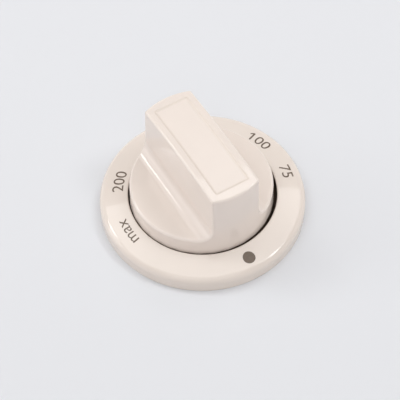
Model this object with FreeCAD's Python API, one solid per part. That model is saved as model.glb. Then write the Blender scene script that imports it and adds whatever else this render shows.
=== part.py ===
import FreeCAD, Part
import math
import os

# Oven control knob: a grip moulding with a bar across a round drum, a printed dial ring that clips
# onto the foot of the drum, and a steel spring ring that closes the split hub on the spindle.
# The frame: origin on the spindle axis in the plane that the ring stands on, +Z towards the user,
# the bar along Y, its marked end at -Y.  Lengths are in millimetres, angles in degrees.

# Dial ring
ring_radius = 32.5
ring_bore_radius = 23.5
ring_lip_height = 6.9
ring_slope = 12.0
ring_wall = 1.8
ring_rim_round = 2.1
ring_lip_chamfer = 0.3
collar_wall = 1.5

# How the ring sits on the grip: a flange carries the collar, and hooks in its notches hold it
flange_bottom = 0.9
flange_thickness = 1.5
flange_radius = 26.4
hook_count = 4
hook_first_angle = 45.0
hook_angle = 12.0
hook_thickness = 1.2
hook_bite = 1.5
hook_lead = 0.5
hook_bottom = 0.15
hook_axial_play = 0.15
ring_play = 0.6
ring_shift = 0.45
ring_shift_angle = 10.0

# Grip: drum, shoulders and bar
drum_gap = 0.8
drum_draft = 2.3
shoulder_height = 12.6
grip_height = 32.4
crown_rise = 0.9
bar_width = 16.5
scoop_round = 4.0
edge_round = 0.8
top_round = 0.75
grip_wall = 2.0

# Shallow panel in the top of the bar, whose floor sweeps up to the rim in a round
panel_width = 11.9
panel_length = 37.0
panel_depth = 0.35
panel_sweep_round = 1.5
panel_corner_round = 1.0

# Hub and the spindle that it takes
spindle_diameter = 6.0
spindle_across_flat = 4.6
spindle_clearance = 0.05
hub_diameter = 12.0
hub_bottom = 1.2
mouth_length = 6.0
mouth_lead_in = 0.4
bore_depth = 16.0
bore_relief = 0.2
slit_width = 1.0
slit_angle = 45.0
slit_height = 5.0
rib_thickness = 1.4
rib_bottom = 6.4

# Spring ring in a groove round the hub
spring_thickness = 0.6
spring_height = 3.0
spring_opening = 50.0
spring_clearance = 0.05
groove_bottom = 2.0
groove_depth = 0.7

# Heights and radii that follow from the driving dimensions
flange_top = flange_bottom + flange_thickness
collar_radius = ring_bore_radius + collar_wall
drum_lip_radius = ring_bore_radius - drum_gap
mouth_radius = spindle_diameter / 2 + spindle_clearance
bore_radius = mouth_radius + bore_relief
bore_flat = spindle_across_flat - spindle_diameter / 2 + spindle_clearance
groove_radius = hub_diameter / 2 - groove_depth
groove_height = spring_height + 2 * spring_clearance

V = FreeCAD.Vector
ORIGIN = V(0, 0, 0)
UP = V(0, 0, 1)
BEYOND = 2 * ring_radius


def tan(angle):
    return math.tan(math.radians(angle))


def cos(angle):
    return math.cos(math.radians(angle))


def sin(angle):
    return math.sin(math.radians(angle))


def rounded_corner(before, corner, after, radius):
    """Start, middle and end of the arc that rounds a corner between its two neighbours."""
    towards_before = (before - corner).normalize()
    towards_after = (after - corner).normalize()
    half_angle = towards_before.getAngle(towards_after) / 2
    inwards = (towards_before + towards_after).normalize()
    run = radius / math.tan(half_angle)
    rise = radius / math.sin(half_angle) - radius
    return corner + towards_before * run, corner + inwards * rise, corner + towards_after * run


def turned_face(corners):
    """Closed outline of (radius, height) corners, as a face ready to be turned about the axis.

    A corner written (radius, height, round) is rounded to that radius.
    """
    points = [V(corner[0], 0, corner[1]) for corner in corners]
    edges = []
    ends = []
    for i, corner in enumerate(corners):
        start = end = points[i]
        if len(corner) == 3:
            following = points[(i + 1) % len(points)]
            start, middle, end = rounded_corner(points[i - 1], points[i], following, corner[2])
            edges.append(Part.Arc(start, middle, end).toShape())
        ends.append((start, end))
    for i, (start, _) in enumerate(ends):
        edges.append(Part.LineSegment(ends[i - 1][1], start).toShape())
    return Part.Face(Part.Wire(Part.__sortEdges__(edges)))


def sector(points, middle, width):
    """Outline turned about the axis through width degrees, centred on the angle middle."""
    solid = turned_face(points).revolve(ORIGIN, UP, width)
    solid.rotate(ORIGIN, UP, middle - width / 2)
    return solid


def hook_angles():
    return [hook_first_angle + 360.0 / hook_count * i for i in range(hook_count)]


# Dial ring

def ring_top(radius):
    """Height of the sloping printed face at a radius, before its edges are rounded."""
    return ring_lip_height - (radius - ring_bore_radius) * tan(ring_slope)


def ring_underside(radius):
    return ring_top(radius) - ring_wall / cos(ring_slope)


def ring_shell():
    """Sloping top with an outer skirt to stand on and an inner collar down to the flange."""
    skirt_inside = ring_radius - ring_wall
    return turned_face([
        (ring_radius, 0),
        (ring_radius, ring_top(ring_radius), ring_rim_round),
        (ring_bore_radius + ring_lip_chamfer, ring_top(ring_bore_radius + ring_lip_chamfer)),
        (ring_bore_radius, ring_lip_height - ring_lip_chamfer),
        (ring_bore_radius, flange_top),
        (collar_radius, flange_top),
        (collar_radius, ring_underside(collar_radius)),
        (skirt_inside, ring_underside(skirt_inside)),
        (skirt_inside, 0),
    ]).revolve(ORIGIN, UP, 360)


def ring_hook(angle):
    """Leg on the collar that passes a flange notch and turns in below the flange."""
    root = collar_radius - collar_wall / 2
    outside = collar_radius + hook_thickness
    nose = collar_radius - hook_bite
    nose_top = flange_bottom - hook_axial_play
    return sector([
        (root, flange_top),
        (collar_radius, flange_top),
        (collar_radius, nose_top),
        (nose, nose_top),
        (nose + hook_lead, hook_bottom),
        (outside, hook_bottom),
        (outside, ring_underside(outside) + ring_wall / 2),
        (root, ring_underside(root) + ring_wall / 2),
    ], angle, hook_angle)


def dial_ring():
    ring = ring_shell().fuse([ring_hook(angle) for angle in hook_angles()]).removeSplitter()
    ring.translate(V(ring_shift * cos(ring_shift_angle), ring_shift * sin(ring_shift_angle), 0))
    return ring


# Grip knob

def drum_radius(height):
    return drum_lip_radius - (height - ring_lip_height) * tan(drum_draft)


def drum_form(inset, bottom):
    """Tapered drum to the full height of the bar, drawn in by inset."""
    step = inset / cos(drum_draft)
    top = grip_height + grip_wall
    return Part.makeCone(drum_radius(bottom) - step, drum_radius(top) - step, top - bottom, V(0, 0, bottom))


def side_form(inset):
    """Bar with its two shoulders, seen along the bar: the side walls run into the shoulders in a round."""
    wall = bar_width / 2 - inset
    floor = shoulder_height - inset
    radius = scoop_round + inset
    top = grip_height + grip_wall
    centre_x = wall + radius
    centre_z = floor + radius

    def at(side, x, z):
        return V(side * x, -BEYOND, z)

    edges = [
        Part.LineSegment(at(1, wall, top), at(-1, wall, top)).toShape(),
        Part.LineSegment(at(1, BEYOND, -BEYOND), at(-1, BEYOND, -BEYOND)).toShape(),
    ]
    for side in (1, -1):
        on_shoulder = at(side, centre_x, floor)
        on_round = at(side, centre_x + radius * cos(225), centre_z + radius * sin(225))
        on_wall = at(side, wall, centre_z)
        edges += [
            Part.LineSegment(at(side, BEYOND, -BEYOND), at(side, BEYOND, floor)).toShape(),
            Part.LineSegment(at(side, BEYOND, floor), on_shoulder).toShape(),
            Part.Arc(on_shoulder, on_round, on_wall).toShape(),
            Part.LineSegment(on_wall, at(side, wall, top)).toShape(),
        ]
    outline = Part.Wire(Part.__sortEdges__(edges))
    return Part.Face(outline).extrude(V(0, 2 * BEYOND, 0))


def crown_form(inset):
    """Everything below the gently arched top of the bar."""
    half_length = drum_radius(grip_height)
    radius = (half_length ** 2 + crown_rise ** 2) / (2 * crown_rise)
    arch_axis = V(1, 0, 0)
    arch_start = V(-BEYOND, 0, grip_height - radius)
    arch = Part.makeCylinder(radius - inset, 2 * BEYOND, arch_start, arch_axis)
    # Half a turn takes the cylinder's seam away from the top
    arch.rotate(arch_start, arch_axis, 180)
    return arch


def grip_form(inset, bottom):
    """Outside of the grip, or with an inset the hollow inside its walls."""
    return drum_form(inset, bottom).common(side_form(inset)).common(crown_form(inset))


def rounded_grip():
    """Outside of the grip with its shoulder rims, bar corners and top edges rounded."""
    solid = grip_form(0, flange_bottom)
    drum_faces = [face for face in solid.Faces if isinstance(face.Surface, Part.Cone)]
    rims = [
        edge for face in drum_faces for edge in face.Edges
        if edge.BoundBox.ZMin > flange_top
        and edge.CenterOfMass.z < grip_height - 2 * crown_rise
        and not edge.isSeam(face)
    ]
    solid = solid.makeFillet(edge_round, rims)
    crown = max(solid.Faces, key=lambda face: face.CenterOfMass.z)
    return solid.makeFillet(top_round, crown.Edges)


def top_panel():
    """What the shallow panel takes out of the bar's top: its floor follows the arch."""
    # The round stops at the bar's top: carried on, it would end this much further out
    overrun = panel_sweep_round - math.sqrt(panel_sweep_round ** 2 - (panel_sweep_round - panel_depth) ** 2)
    width = panel_width + 2 * overrun
    length = panel_length + 2 * overrun
    block = Part.makeBox(width, length, grip_height, V(-width / 2, -length / 2, shoulder_height))
    upright = [edge for edge in block.Edges if edge.BoundBox.ZLength > panel_depth]
    block = block.makeFillet(panel_corner_round + overrun, upright).cut(crown_form(panel_depth))
    floor = min(block.Faces, key=lambda face: face.CenterOfMass.z)
    return block.makeFillet(panel_sweep_round, floor.Edges)


def flange():
    """Foot of the drum that carries the ring's collar, notched where the hooks pass."""
    inside = drum_radius(flange_bottom) - grip_wall / 2
    plate = turned_face([
        (inside, flange_bottom),
        (flange_radius, flange_bottom),
        (flange_radius, flange_top),
        (inside, flange_top),
    ]).revolve(ORIGIN, UP, 360)
    notch_bottom = collar_radius - ring_play
    notch_width = hook_angle + 2 * math.degrees(ring_play / notch_bottom)
    notch = [
        (notch_bottom, flange_bottom - flange_thickness),
        (flange_radius + flange_thickness, flange_bottom - flange_thickness),
        (flange_radius + flange_thickness, flange_top + flange_thickness),
        (notch_bottom, flange_top + flange_thickness),
    ]
    return plate.cut([sector(notch, angle, notch_width) for angle in hook_angles()])


def hub():
    """Boss that stands in the hollow of the grip and runs up into the wall under the panel."""
    radius = hub_diameter / 2
    top = grip_height - crown_rise - grip_wall / 2 - panel_depth
    return turned_face([
        (0, hub_bottom),
        (radius, hub_bottom),
        (radius, groove_bottom),
        (groove_radius, groove_bottom),
        (groove_radius, groove_bottom + groove_height),
        (radius, groove_bottom + groove_height),
        (radius, top),
        (0, top),
    ]).revolve(ORIGIN, UP, 360)


def ribs():
    """Webs along and across the bar that tie the hub to the walls, ending inside them."""
    along = Part.makeBox(rib_thickness, BEYOND, grip_height, V(-rib_thickness / 2, -BEYOND / 2, rib_bottom))
    across = Part.makeBox(BEYOND, rib_thickness, grip_height, V(-BEYOND / 2, -rib_thickness / 2, rib_bottom))
    return along.fuse(across).common(grip_form(grip_wall / 2, rib_bottom))


def spindle_socket():
    """Round mouth with a lead-in, then the D-shaped bore, and the slit that lets the mouth give."""
    foot = V(0, 0, hub_bottom)
    mouth = Part.makeCylinder(mouth_radius, mouth_length, foot)
    lead_in = Part.makeCone(mouth_radius + mouth_lead_in, mouth_radius, mouth_lead_in, foot)
    bore = Part.makeCylinder(bore_radius, bore_depth - mouth_length, foot + UP * mouth_length)
    flat_side = Part.makeBox(
        bore_radius + bore_flat, 2 * bore_radius, bore_depth,
        V(-bore_radius, -bore_radius, hub_bottom))
    slit_length = hub_diameter + slit_width
    slit = Part.makeBox(slit_length, slit_width, slit_height, V(-slit_length / 2, -slit_width / 2, hub_bottom))
    slit.rotate(ORIGIN, UP, slit_angle)
    return mouth.fuse([lead_in, bore.common(flat_side), slit])


def grip_knob():
    shell = rounded_grip().cut(top_panel())
    shell = shell.fuse(flange()).cut(grip_form(grip_wall, flange_bottom - flange_thickness))
    return shell.fuse([hub(), ribs()]).cut(spindle_socket()).removeSplitter()


# Spring ring

def hub_spring_ring():
    """Open band of spring steel in the hub's groove, its gap in line with the slit."""
    inside = groove_radius + spring_clearance
    outside = inside + spring_thickness
    bottom = groove_bottom + spring_clearance
    top = bottom + spring_height
    outline = [(inside, bottom), (outside, bottom), (outside, top), (inside, top)]
    return sector(outline, slit_angle + 180, 360 - spring_opening)


parts = {
    "grip_knob": grip_knob(),
    "dial_ring": dial_ring(),
    "hub_spring_ring": hub_spring_ring(),
}
os.makedirs("parts", exist_ok=True)
for name, shape in parts.items():
    shape.exportStep("parts/" + name + ".step")
    print(name, "solids", len(shape.Solids), "valid", shape.isValid(), "volume", round(shape.Volume, 1))
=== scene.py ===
import math

import bmesh
import bpy
from mathutils import Matrix, Vector
from mathutils.bvhtree import BVHTree


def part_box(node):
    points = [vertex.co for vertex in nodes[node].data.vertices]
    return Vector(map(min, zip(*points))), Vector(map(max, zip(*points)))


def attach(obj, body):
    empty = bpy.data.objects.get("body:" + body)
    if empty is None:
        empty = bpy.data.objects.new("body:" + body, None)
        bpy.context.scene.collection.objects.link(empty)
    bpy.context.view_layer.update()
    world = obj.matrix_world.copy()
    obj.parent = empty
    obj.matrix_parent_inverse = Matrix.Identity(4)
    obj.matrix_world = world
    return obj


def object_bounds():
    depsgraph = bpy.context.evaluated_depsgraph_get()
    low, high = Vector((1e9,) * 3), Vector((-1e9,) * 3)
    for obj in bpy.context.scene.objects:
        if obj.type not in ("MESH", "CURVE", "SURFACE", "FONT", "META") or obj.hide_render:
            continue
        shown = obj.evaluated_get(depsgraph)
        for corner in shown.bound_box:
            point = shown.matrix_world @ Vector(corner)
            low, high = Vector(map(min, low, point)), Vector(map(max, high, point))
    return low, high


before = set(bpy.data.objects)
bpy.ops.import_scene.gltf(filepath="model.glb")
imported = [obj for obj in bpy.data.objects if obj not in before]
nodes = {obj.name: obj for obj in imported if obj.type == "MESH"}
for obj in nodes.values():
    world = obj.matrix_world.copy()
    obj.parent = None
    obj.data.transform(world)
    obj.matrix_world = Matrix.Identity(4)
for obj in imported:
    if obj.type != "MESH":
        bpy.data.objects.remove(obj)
cad_low, cad_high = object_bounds()

# Looks of the oven control knob: two cream mouldings, a steel spring ring and the brown print on the
# dial ring, seen as in the photo. Lengths are in metres, angles in degrees, colours linear.
MM = 0.001

# Camera, fitted to the outline of the ring
view_azimuth = -30.75
view_elevation = 54.9
view_roll = 0.35
view_distance = 557 * MM
view_lens = 157.7
view_shift_x = -0.0066
view_shift_y = 0.0108

# Print: figures and a dot round a circle that lies a little off the middle of the ring, tops outwards
print_radius = 27.45 * MM
print_offset_x = 0.38 * MM
print_offset_y = -0.57 * MM
figure_height = 3.55 * MM
figure_stretch = 1.10
figure_angles = {"75": -12.2, "100": 19.1, "150": 79.0, "200": 138.9, "max": 179.9}
dot_angle = -91.2
dot_diameter = 3.95 * MM
dot_corners = 64
ink_thickness = 0.02 * MM
print_step = 0.3 * MM
print_weld = 0.001 * MM

# Letters in the font's own size: its double points, and a leading 1's flag in shares of the height
outline_weld = 0.001
flag_reach = 0.22
flag_drop = 0.17
flag_weight = 0.16

# Colours
grip_cream = (0.802, 0.725, 0.665)
ring_cream = (0.770, 0.699, 0.636)
# Painted shade for the line along the panel's edge
panel_shade_cream = (0.70, 0.62, 0.55)
ink_brown = (0.136, 0.100, 0.070)
steel_grey = (0.56, 0.57, 0.59)
# Painted shade for the gap round the drum
gap_shade_brown = (0.085, 0.050, 0.028)
floor_pale = (0.73, 0.75, 0.78)
room_warm = (1.0, 0.94, 0.92)

# Noise that a finish follows: most of it lies between these two values, and waves are counted per metre
noise_low = 0.3
noise_high = 0.7

# Cream plastic: mottled colour, uneven gloss and a fine ripple
plastic_ior = 1.6
plastic_mottling = {"waves": 110, "octaves": 4}
plastic_colour_spread = 0.012
plastic_gloss = {"waves": 420, "octaves": 3}
plastic_roughness = {"low": 0.05, "high": 0.09}
plastic_ripple = {"waves": 900, "octaves": 2}
plastic_relief = {"depth": 0.006 * MM, "strength": 0.35}

# Print ink: uneven tone and gloss, and a fine grain
ink_mottling = {"waves": 1400, "octaves": 3}
ink_colour_spread = 0.10
ink_gloss = {"waves": 900, "octaves": 2}
ink_roughness = {"low": 0.28, "high": 0.40}
ink_grain = {"waves": 5000, "octaves": 2}
ink_relief = {"depth": 0.004 * MM, "strength": 0.4}

# Spring steel: streaks that are narrow along the axis and run round the band
steel_streaks = {"waves": 400, "octaves": 5, "stretch": (1, 1, 22)}
steel_colour_spread = 0.08
steel_roughness = {"low": 0.24, "high": 0.38}
steel_relief = {"depth": 0.004 * MM, "strength": 0.5}

# Sharp edges of every material look rounded by this much
edge_round = 0.2 * MM

# Panel in the bar's top: duller than the rest, with a soft line of painted shade just inside its edge
panel_width = 11.9 * MM
panel_length = 37.0 * MM
panel_below_top = 2.0 * MM
panel_roughness = 0.34
line_inset = 0.35 * MM
line_reach = 0.65 * MM

# Painted shade: a dark band in the gap round the drum that ends just below the ring's lip
gap_radius = 23.7 * MM
gap_reach = 1.5 * MM
gap_shade_below_lip = 0.6 * MM
gap_shade_depth = 4.0 * MM
gap_shade_roughness = 0.8

# Floor
floor_radius = 0.5
floor_corners = 96
floor_roughness = 0.6
floor_specular = 0.2

# Soft boxes overhead, placed as the camera looks: to its right, and from near to far
softbox_height = 0.80
softbox_radiance = 1.88
softboxes = {
    "softbox_left": {"right": -0.35, "near": -0.10, "far": 0.54, "width": 0.30},
    "softbox_middle": {"right": 0.0, "near": -0.10, "far": 0.46, "width": 0.40},
    "softbox_right": {"right": 0.36, "near": -0.10, "far": 0.68, "width": 0.32},
}

# Lights round the knob: a tall window, two small lamps whose glints run along the rounds, and a weak fill
side_distance = 1.0
side_lights = {
    "window": {"azimuth": -125, "elevation": 26, "width": 0.35, "height": 0.85, "radiance": 1.5},
    "left_lamp": {"azimuth": -147.4, "elevation": 48, "width": 0.16, "height": 0.18, "radiance": 9},
    "right_lamp": {"azimuth": 62, "elevation": 56, "width": 0.25, "height": 0.20, "radiance": 8},
    "front_fill": {"azimuth": -30, "elevation": 58, "width": 0.9, "height": 0.7, "radiance": 0.8},
}

# Light of the room, from the walls up to the ceiling
room_walls = 1.10
room_ceiling = 0.0

ring_low, ring_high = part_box("dial_ring")
ring_middle = Vector(((ring_low.x + ring_high.x) / 2, (ring_low.y + ring_high.y) / 2, cad_low.z))


def add_object(name, data):
    thing = bpy.data.objects.new(name, data)
    bpy.context.scene.collection.objects.link(thing)
    return thing


# Materials

def new_material(name):
    """Material with a shader to build on, as (material, node tree, shader)."""
    material = bpy.data.materials.new(name)
    material.use_nodes = True
    return material, material.node_tree, material.node_tree.nodes["Principled BSDF"]


def noise(tree, waves, octaves, stretch=(1, 1, 1)):
    """Noise in the part's own coordinates."""
    place = tree.nodes.new("ShaderNodeTexCoord")
    mapping = tree.nodes.new("ShaderNodeMapping")
    mapping.inputs["Scale"].default_value = stretch
    texture = tree.nodes.new("ShaderNodeTexNoise")
    texture.inputs["Scale"].default_value = waves
    texture.inputs["Detail"].default_value = octaves
    tree.links.new(place.outputs["Object"], mapping.inputs["Vector"])
    tree.links.new(mapping.outputs["Vector"], texture.inputs["Vector"])
    return texture.outputs["Fac"]


def vary_colour(tree, shader, value, colour, spread):
    """Base colour that wanders by the share spread to both sides of colour."""
    ramp = tree.nodes.new("ShaderNodeValToRGB")
    dark, light = ramp.color_ramp.elements
    dark.position = noise_low
    light.position = noise_high
    dark.color = [channel * (1 - spread) for channel in colour] + [1]
    light.color = [channel * (1 + spread) for channel in colour] + [1]
    tree.links.new(value, ramp.inputs["Fac"])
    tree.links.new(ramp.outputs["Color"], shader.inputs["Base Color"])


def vary_roughness(tree, shader, value, low, high):
    """Roughness that wanders between low and high."""
    spread = tree.nodes.new("ShaderNodeMapRange")
    spread.inputs["From Min"].default_value = noise_low
    spread.inputs["From Max"].default_value = noise_high
    spread.inputs["To Min"].default_value = low
    spread.inputs["To Max"].default_value = high
    tree.links.new(value, spread.inputs["Value"])
    tree.links.new(spread.outputs["Result"], shader.inputs["Roughness"])


def add_relief(tree, shader, value, depth, strength):
    """Fine relief of the skin, over edges that look a little rounded."""
    soft_edge = tree.nodes.new("ShaderNodeBevel")
    soft_edge.inputs["Radius"].default_value = edge_round
    bump = tree.nodes.new("ShaderNodeBump")
    bump.inputs["Distance"].default_value = depth
    bump.inputs["Strength"].default_value = strength
    tree.links.new(soft_edge.outputs["Normal"], bump.inputs["Normal"])
    tree.links.new(value, bump.inputs["Height"])
    tree.links.new(bump.outputs["Normal"], shader.inputs["Normal"])


def blend_into(tree, socket, kind, value, share):
    """Puts value in place of what feeds a socket, as far as share goes from 0 to 1."""
    blend = tree.nodes.new("ShaderNodeMix")
    blend.data_type = kind
    factor, before, after = [slot for slot in blend.inputs if slot.enabled]
    result = next(slot for slot in blend.outputs if slot.enabled)
    tree.links.new(share, factor)
    tree.links.new(socket.links[0].from_socket, before)
    after.default_value = value
    tree.links.new(result, socket)


def math_node(tree, operation, *values):
    """Output of a math node whose inputs are sockets or numbers."""
    node = tree.nodes.new("ShaderNodeMath")
    node.operation = operation
    for slot, value in zip(node.inputs, values):
        if isinstance(value, bpy.types.NodeSocket):
            tree.links.new(value, slot)
        else:
            slot.default_value = value
    return node.outputs["Value"]


def part_place(tree):
    """X, Y and Z in the part's own coordinates."""
    place = tree.nodes.new("ShaderNodeTexCoord")
    split = tree.nodes.new("ShaderNodeSeparateXYZ")
    tree.links.new(place.outputs["Object"], split.inputs["Vector"])
    return split.outputs[:]


def gap_shade_share(tree):
    """1 in the gap round the drum, from below the ring's lip down to the flange, 0 elsewhere."""
    x, y, z = part_place(tree)
    level = ring_high.z - gap_shade_below_lip - gap_shade_depth / 2
    squares = [math_node(tree, "POWER", place, 2) for place in (x, y)]
    radius = math_node(tree, "SQRT", math_node(tree, "ADD", *squares))
    near_wall = math_node(tree, "COMPARE", radius, gap_radius, gap_reach)
    near_level = math_node(tree, "COMPARE", z, level, gap_shade_depth / 2)
    return math_node(tree, "MULTIPLY", near_wall, near_level)


def add_gap_shade(tree, shader):
    """Painted shade: dull dark brown in the gap between the drum and the ring, where shade falls."""
    share = gap_shade_share(tree)
    blend_into(tree, shader.inputs["Base Color"], "RGBA", (*gap_shade_brown, 1), share)
    blend_into(tree, shader.inputs["Roughness"], "FLOAT", gap_shade_roughness, share)


def panel_shares(tree):
    """1 in the panel and 0 elsewhere, and 1 on the line inside its edge, fading to both sides."""
    x, y, z = part_place(tree)
    margins = [math_node(tree, "SUBTRACT", length / 2, math_node(tree, "ABSOLUTE", place))
               for place, length in ((x, panel_width), (y, panel_length))]
    margin = math_node(tree, "MINIMUM", *margins)
    inside = math_node(tree, "GREATER_THAN", margin, 0)
    high_up = math_node(tree, "GREATER_THAN", z, cad_high.z - panel_below_top)
    panel = math_node(tree, "MULTIPLY", inside, high_up)
    off_line = math_node(tree, "ABSOLUTE", math_node(tree, "SUBTRACT", margin, line_inset))
    fade = math_node(tree, "SUBTRACT", 1, math_node(tree, "DIVIDE", off_line, line_reach))
    return panel, math_node(tree, "MULTIPLY", panel, fade)


def add_panel(tree, shader):
    """Duller finish in the panel in the bar's top, with a soft line of painted shade along its edge."""
    panel, line = panel_shares(tree)
    blend_into(tree, shader.inputs["Roughness"], "FLOAT", panel_roughness, panel)
    blend_into(tree, shader.inputs["Base Color"], "RGBA", (*panel_shade_cream, 1), line)


def cream_plastic(name, colour):
    """Polished moulding with painted shade where it faces the gap, as (material, node tree, shader)."""
    material, tree, shader = new_material(name)
    shader.inputs["IOR"].default_value = plastic_ior
    vary_colour(tree, shader, noise(tree, **plastic_mottling), colour, plastic_colour_spread)
    vary_roughness(tree, shader, noise(tree, **plastic_gloss), **plastic_roughness)
    add_gap_shade(tree, shader)
    add_relief(tree, shader, noise(tree, **plastic_ripple), **plastic_relief)
    return material, tree, shader


def grip_plastic():
    material, tree, shader = cream_plastic("grip_plastic", grip_cream)
    add_panel(tree, shader)
    return material


def ring_plastic():
    material, _, _ = cream_plastic("ring_plastic", ring_cream)
    return material


def print_ink():
    """Thin pad print, a little uneven in tone and duller than the plastic."""
    material, tree, shader = new_material("print_ink")
    vary_colour(tree, shader, noise(tree, **ink_mottling), ink_brown, ink_colour_spread)
    vary_roughness(tree, shader, noise(tree, **ink_gloss), **ink_roughness)
    add_relief(tree, shader, noise(tree, **ink_grain), **ink_relief)
    return material


def spring_steel():
    """Rolled strip with fine streaks round the band."""
    material, tree, shader = new_material("spring_steel")
    shader.inputs["Metallic"].default_value = 1.0
    streaks = noise(tree, **steel_streaks)
    vary_colour(tree, shader, streaks, steel_grey, steel_colour_spread)
    vary_roughness(tree, shader, streaks, **steel_roughness)
    add_relief(tree, shader, streaks, **steel_relief)
    return material


def dress(node, material):
    """Gives a node of the frame its material."""
    nodes[node].data.materials.clear()
    nodes[node].data.materials.append(material)


# Print on the dial ring

def ring_face():
    """Tree for finding the height of the dial ring under a point."""
    mesh = nodes["dial_ring"].data
    return BVHTree.FromPolygons([v.co for v in mesh.vertices], [p.vertices for p in mesh.polygons])


def cut_across(mesh, axis, place):
    """Cuts every face of a flat shape along the line on which its X (axis 0) or Y (axis 1) is place."""
    normal = Vector((axis == 0, axis == 1, 0))
    everything = mesh.verts[:] + mesh.edges[:] + mesh.faces[:]
    bmesh.ops.bisect_plane(mesh, geom=everything, plane_co=normal * place, plane_no=normal)


def cut_into_grid(mesh, step):
    """Cuts flat shapes along a square grid, so that they can follow a curved face."""
    for axis in (0, 1):
        low = min(v.co[axis] for v in mesh.verts)
        high = max(v.co[axis] for v in mesh.verts)
        for i in range(1, math.ceil((high - low) / step)):
            cut_across(mesh, axis, low + i * step)
    bmesh.ops.remove_doubles(mesh, verts=mesh.verts[:], dist=print_weld)


def lay_on_ring(name, mesh, angle, face, material):
    """Wraps a flat shape round the print circle at an angle, as ink half sunk into the ring."""
    cut_into_grid(mesh, print_step)
    bottom = bmesh.ops.extrude_face_region(mesh, geom=mesh.faces[:])
    for vertex in bottom["geom"]:
        if isinstance(vertex, bmesh.types.BMVert):
            vertex.co.z -= 2 * ink_thickness
    middle = ring_middle + Vector((print_offset_x, print_offset_y, 0))
    for vertex in mesh.verts:
        along, outwards, lift = vertex.co
        turn = math.radians(angle) - along / print_radius
        reach = print_radius + outwards
        above = middle + Vector((reach * math.cos(turn), reach * math.sin(turn), cad_high.z))
        hit, _, _, _ = face.ray_cast(above, Vector((0, 0, -1)))
        vertex.co = hit + Vector((0, 0, lift + ink_thickness))
    bmesh.ops.recalc_face_normals(mesh, faces=mesh.faces[:])
    data = bpy.data.meshes.new(name)
    mesh.to_mesh(data)
    mesh.free()
    data.materials.append(material)
    piece = add_object(name, data)
    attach(piece, "root")


def add_flag(mesh):
    """Slanting stroke at the top of a leading 1, which is a plain bar in the font."""
    left = min(v.co.x for v in mesh.verts)
    side = [v for v in mesh.verts if v.co.x - left < outline_weld]
    foot, top = sorted(v.co.y for v in side)
    height = top - foot
    cut_across(mesh, 1, top - flag_weight * height)
    root = [v for v in mesh.verts if v.co.x - left < outline_weld and v.co.y > foot + height / 2]
    upper, lower = sorted(root, key=lambda v: -v.co.y)
    reach = Vector((-flag_reach * height, -flag_drop * height, 0))
    mesh.faces.new((upper, mesh.verts.new(upper.co + reach), mesh.verts.new(lower.co + reach), lower))


def flat_text(words):
    """Words as a flat mesh about the middle of their line, in the font's own size."""
    curve = bpy.data.curves.new(words, "FONT")
    curve.body = words
    curve.align_x = "CENTER"
    holder = add_object(words, curve)
    bpy.context.view_layer.update()
    graph = bpy.context.evaluated_depsgraph_get()
    data = bpy.data.meshes.new_from_object(holder.evaluated_get(graph))
    bpy.data.objects.remove(holder)
    mesh = bmesh.new()
    mesh.from_mesh(data)
    bpy.data.meshes.remove(data)
    bmesh.ops.remove_doubles(mesh, verts=mesh.verts[:], dist=outline_weld)
    if words.startswith("1"):
        add_flag(mesh)
    return mesh


def foot_and_top(mesh):
    """Lowest and highest Y of a flat shape."""
    heights = [v.co.y for v in mesh.verts]
    return min(heights), max(heights)


def print_figures(face, material):
    """Figures and a word on the ring, all at the scale that gives a 0 its height."""
    sample = flat_text("0")
    foot, top = foot_and_top(sample)
    sample.free()
    scale = figure_height / (top - foot)
    size = Matrix.Diagonal((scale * figure_stretch, scale, scale, 1))
    for words, angle in figure_angles.items():
        mesh = flat_text(words)
        foot, top = foot_and_top(mesh)
        level = Matrix.Translation((0, -(foot + top) / 2, 0))
        bmesh.ops.transform(mesh, verts=mesh.verts[:], matrix=size @ level)
        lay_on_ring("print_" + words, mesh, angle, face, material)


def print_dot(face, material):
    mesh = bmesh.new()
    bmesh.ops.create_circle(mesh, cap_ends=True, segments=dot_corners, radius=dot_diameter / 2)
    lay_on_ring("print_dot", mesh, dot_angle, face, material)


# Surroundings

def add_floor():
    """Plain round floor under the knob."""
    mesh = bmesh.new()
    bmesh.ops.create_circle(mesh, cap_ends=True, segments=floor_corners, radius=floor_radius)
    data = bpy.data.meshes.new("floor")
    mesh.to_mesh(data)
    mesh.free()
    floor = add_object("floor", data)
    floor.location.z = cad_low.z
    material, _, shader = new_material("floor")
    shader.inputs["Roughness"].default_value = floor_roughness
    shader.inputs["Specular IOR Level"].default_value = floor_specular
    shader.inputs["Base Color"].default_value = (*floor_pale, 1)
    data.materials.append(material)


def add_room_light():
    """Light from all round that changes evenly from the walls up to the ceiling."""
    world = bpy.data.worlds.new("room")
    world.use_nodes = True
    tree = world.node_tree
    background = tree.nodes["Background"]
    background.inputs["Color"].default_value = (*room_warm, 1)
    place = tree.nodes.new("ShaderNodeTexCoord")
    split = tree.nodes.new("ShaderNodeSeparateXYZ")
    level = tree.nodes.new("ShaderNodeMapRange")
    level.inputs["To Min"].default_value = room_walls
    level.inputs["To Max"].default_value = room_ceiling
    tree.links.new(place.outputs["Generated"], split.inputs["Vector"])
    tree.links.new(split.outputs["Z"], level.inputs["Value"])
    tree.links.new(level.outputs["Result"], background.inputs["Strength"])
    bpy.context.scene.world = world


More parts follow.
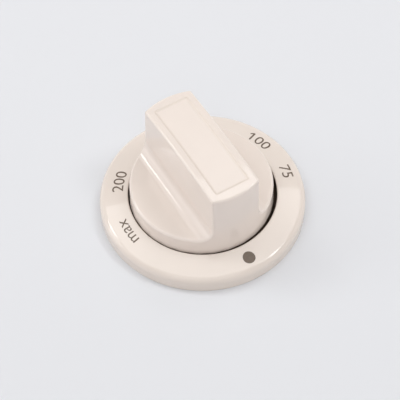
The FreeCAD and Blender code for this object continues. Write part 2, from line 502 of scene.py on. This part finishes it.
def direction(azimuth, elevation):
    """Unit vector from the knob: azimuth 0 is in front of it, at -Y, and -90 is at -X."""
    turn = math.radians(azimuth)
    rise = math.radians(elevation)
    return Vector((math.sin(turn) * math.cos(rise), -math.cos(turn) * math.cos(rise), math.sin(rise)))


def add_area_light(name, place, turned, width, height, radiance):
    """Rectangular lamp, its place taken from the middle of the ring's foot."""
    light = bpy.data.lights.new(name, "AREA")
    light.shape = "RECTANGLE"
    light.size = width
    light.size_y = height
    light.energy = radiance * math.pi * width * height
    lamp = add_object(name, light)
    lamp.matrix_world = Matrix.Translation(ring_middle + place) @ turned.to_4x4()


def add_softbox(name, right, near, far, width):
    """Light overhead that shines straight down, square to the camera's view."""
    away = -direction(view_azimuth, 0)
    sideways = Vector((away.y, -away.x, 0))
    place = sideways * right + away * (near + far) / 2
    place.z = softbox_height
    turned = Matrix.Rotation(math.radians(view_azimuth), 3, "Z")
    add_area_light(name, place, turned, width, far - near, softbox_radiance)


def add_side_light(name, azimuth, elevation, width, height, radiance):
    """Light beside the knob that faces it."""
    towards = direction(azimuth, elevation)
    turned = towards.to_track_quat("Z", "Y").to_matrix()
    add_area_light(name, towards * side_distance, turned, width, height, radiance)


def add_camera():
    """Camera aimed at the middle of the ring's foot, rolled and shifted to frame it as in the photo."""
    data = bpy.data.cameras.new("camera")
    data.lens = view_lens
    data.shift_x = view_shift_x
    data.shift_y = view_shift_y
    camera = add_object("camera", data)
    towards = direction(view_azimuth, view_elevation)
    aim = towards.to_track_quat("Z", "Y").to_matrix().to_4x4()
    roll = Matrix.Rotation(math.radians(-view_roll), 4, "Z")
    camera.matrix_world = Matrix.Translation(ring_middle + towards * view_distance) @ aim @ roll
    bpy.context.scene.camera = camera


dress("grip_knob", grip_plastic())
dress("dial_ring", ring_plastic())
dress("hub_spring_ring", spring_steel())
ink = print_ink()
face_of_ring = ring_face()
print_figures(face_of_ring, ink)
print_dot(face_of_ring, ink)
add_floor()
add_room_light()
for name, box in softboxes.items():
    add_softbox(name, **box)
for name, light in side_lights.items():
    add_side_light(name, **light)
add_camera()
bpy.context.scene.view_settings.view_transform = "Standard"
